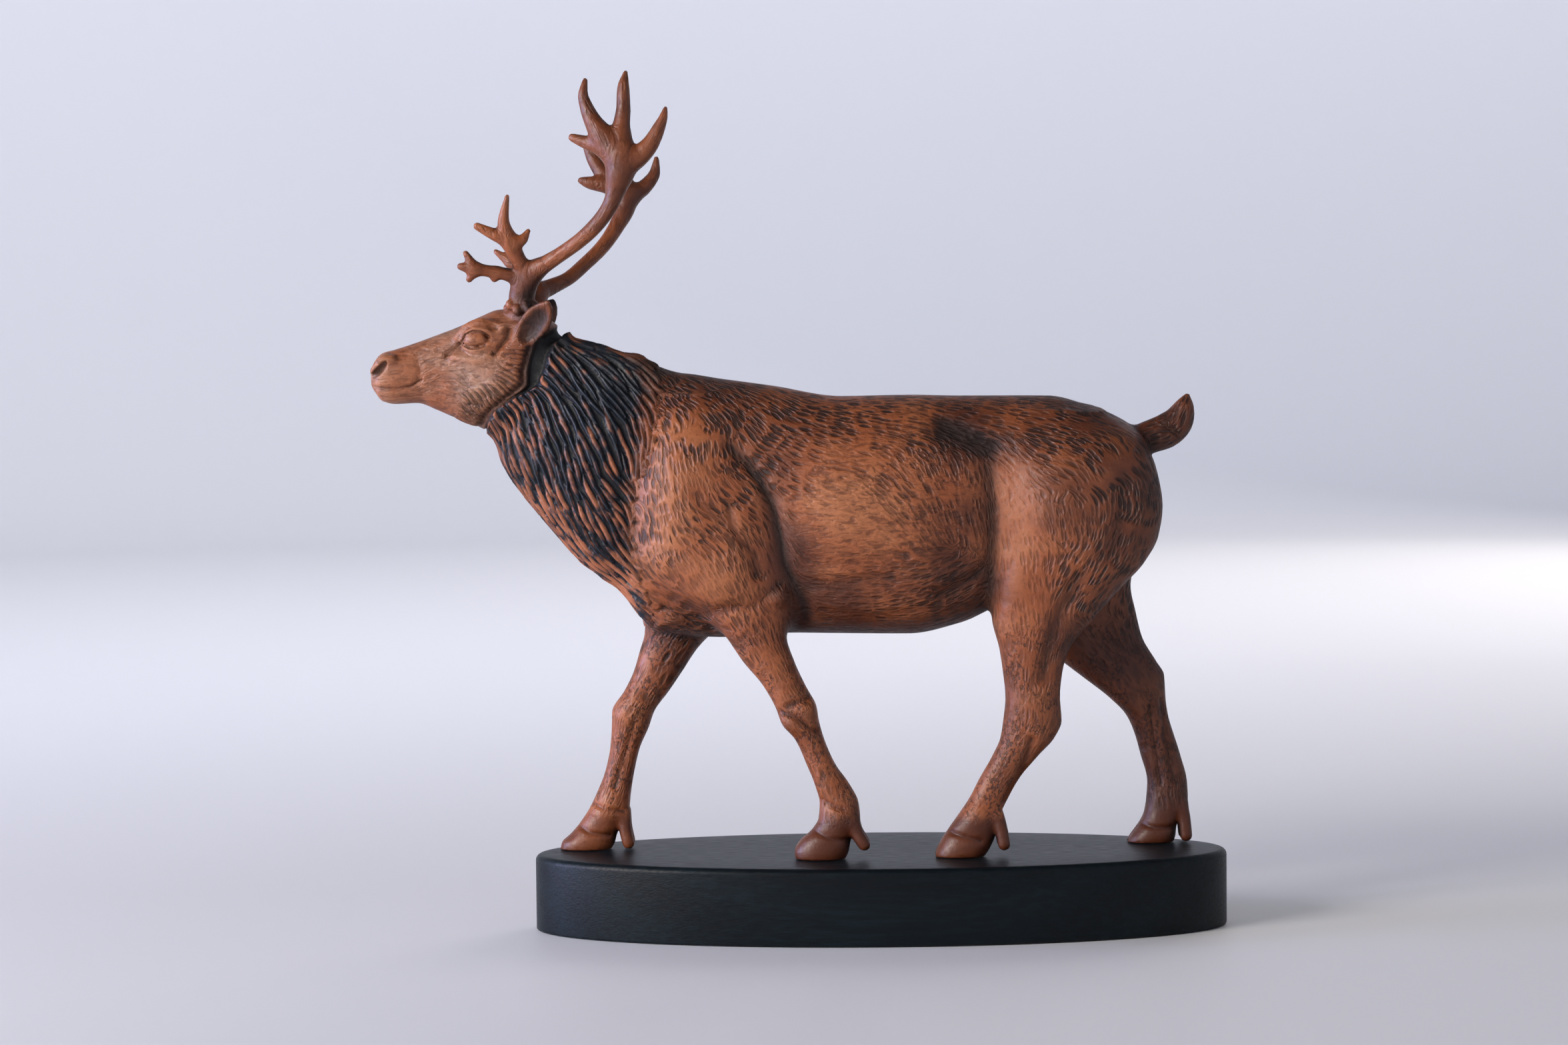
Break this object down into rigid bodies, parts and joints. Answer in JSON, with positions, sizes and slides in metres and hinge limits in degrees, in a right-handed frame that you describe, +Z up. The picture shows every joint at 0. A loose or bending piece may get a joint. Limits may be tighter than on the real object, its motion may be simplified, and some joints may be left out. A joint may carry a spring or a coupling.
{
  "type": "carved wooden deer figure",
  "caption": "Carved and stained wooden walking deer with branching antlers and a dark mane, on a blackened oval wooden plinth.",
  "frame": {"origin": "centre of the plinth's underside", "axes": "+Z up, -X towards the deer's nose, -Y towards the deer's left side"},
  "size_m": [0.2893, 0.092, 0.2915],
  "materials": {
    "carved_wood": "reddish-brown stain with dark glaze left in the cuts, satin",
    "blackened_wood": "blue-black stain, satin"
  },
  "bodies": {
    "root": {"deer": "carved_wood", "plinth": "blackened_wood"}
  },
  "joints": []
}
